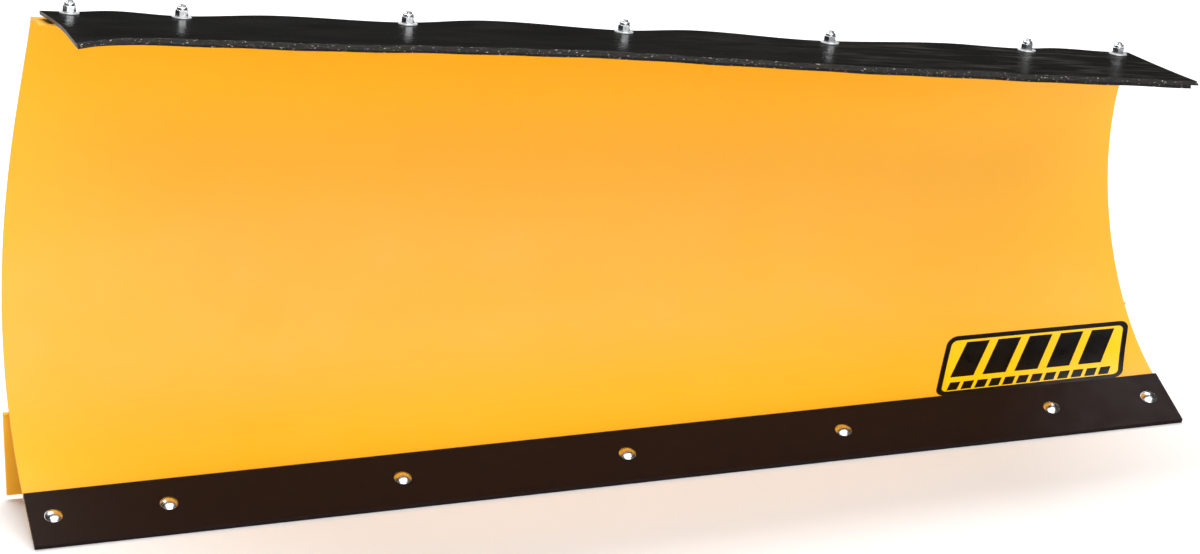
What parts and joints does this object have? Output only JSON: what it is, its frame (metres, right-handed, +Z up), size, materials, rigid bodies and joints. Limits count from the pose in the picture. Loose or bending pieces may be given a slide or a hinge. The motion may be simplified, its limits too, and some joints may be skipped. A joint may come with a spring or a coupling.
{
  "type": "atv plow blade",
  "caption": "Tapered, rolled snow plow blade with a bolted wear bar, rubber top flap, rear ribs, pivot ears, spring tabs and height-adjustable skid shoes.",
  "frame": {"origin": "middle of the blade's box at floor level", "axes": "+X along the blade from its high end to its low end, -Y the side that meets the snow, +Z up"},
  "size_m": [1.535, 0.4122, 0.6493],
  "materials": {
    "yellow_paint": "smooth satin powder coat, golden yellow",
    "bar_paint": "satin brown-black paint on flat bar",
    "zinc_plate": "bright zinc plating",
    "rubber_belting": "black fabric-reinforced belting, faint sheen, fibre specks in the cut edge",
    "nylon": "nylon locking ring",
    "bare_cast": "black painted casting",
    "decal_film": "printed vinyl film with slanted stripes"
  },
  "bodies": {
    "blade": {"moldboard": "yellow_paint", "wear_bar": "bar_paint", "bar_bolts": "zinc_plate", "bar_nuts": "zinc_plate", "flap_lower_ply": "rubber_belting", "flap_upper_ply": "rubber_belting", "flap_bolts": "zinc_plate", "flap_washers": "zinc_plate", "flap_nuts": "zinc_plate", "nut_inserts": "nylon", "lower_angle": "yellow_paint", "rib_high_end": "yellow_paint", "rib_high_middle": "yellow_paint", "rib_high_pivot": "yellow_paint", "rib_low_pivot": "yellow_paint", "rib_low_middle": "yellow_paint", "rib_low_end": "yellow_paint", "pivot_ears_high": "yellow_paint", "pivot_ears_low": "yellow_paint", "pivot_plate": "yellow_paint", "spring_rail": "yellow_paint", "spring_tabs": "yellow_paint", "stripe_decal": "decal_film", "shoe_bracket_high": "yellow_paint", "shoe_socket_high": "yellow_paint", "spare_washers_high": "zinc_plate", "shoe_bracket_low": "yellow_paint", "shoe_socket_low": "yellow_paint", "spare_washers_low": "zinc_plate"},
    "shoe_stack_high": {"shoe_washers_high": "zinc_plate"},
    "shoe_high": {"skid_shoe_high": "bare_cast", "lynch_pin_high": "zinc_plate"},
    "ring_high": {"lynch_ring_high": "zinc_plate"},
    "shoe_stack_low": {"shoe_washers_low": "zinc_plate"},
    "shoe_low": {"skid_shoe_low": "bare_cast", "lynch_pin_low": "zinc_plate"},
    "ring_low": {"lynch_ring_low": "zinc_plate"}
  },
  "joints": [
    {"name": "shoe_play_high", "type": "slide", "parent": "blade", "child": "shoe_stack_high", "axis": [0, 0, -1], "range_m": [0, 0.006]},
    {"name": "shoe_spin_high", "type": "hinge", "parent": "shoe_stack_high", "child": "shoe_high", "pos_m": [-0.56, 0.15013, 0.05], "axis": [0, 0, 1], "continuous": true},
    {"name": "ring_swing_high", "type": "hinge", "parent": "shoe_high", "child": "ring_high", "pos_m": [-0.536, 0.15013, 0.1142], "axis": [0, 1, 0], "range_deg": [0, 165]},
    {"name": "shoe_play_low", "type": "slide", "parent": "blade", "child": "shoe_stack_low", "axis": [0, 0, -1], "range_m": [0, 0.006]},
    {"name": "shoe_spin_low", "type": "hinge", "parent": "shoe_stack_low", "child": "shoe_low", "pos_m": [0.56, 0.15013, 0.05], "axis": [0, 0, 1], "continuous": true},
    {"name": "ring_swing_low", "type": "hinge", "parent": "shoe_low", "child": "ring_low", "pos_m": [0.584, 0.15013, 0.1142], "axis": [0, 1, 0], "range_deg": [0, 165]}
  ]
}
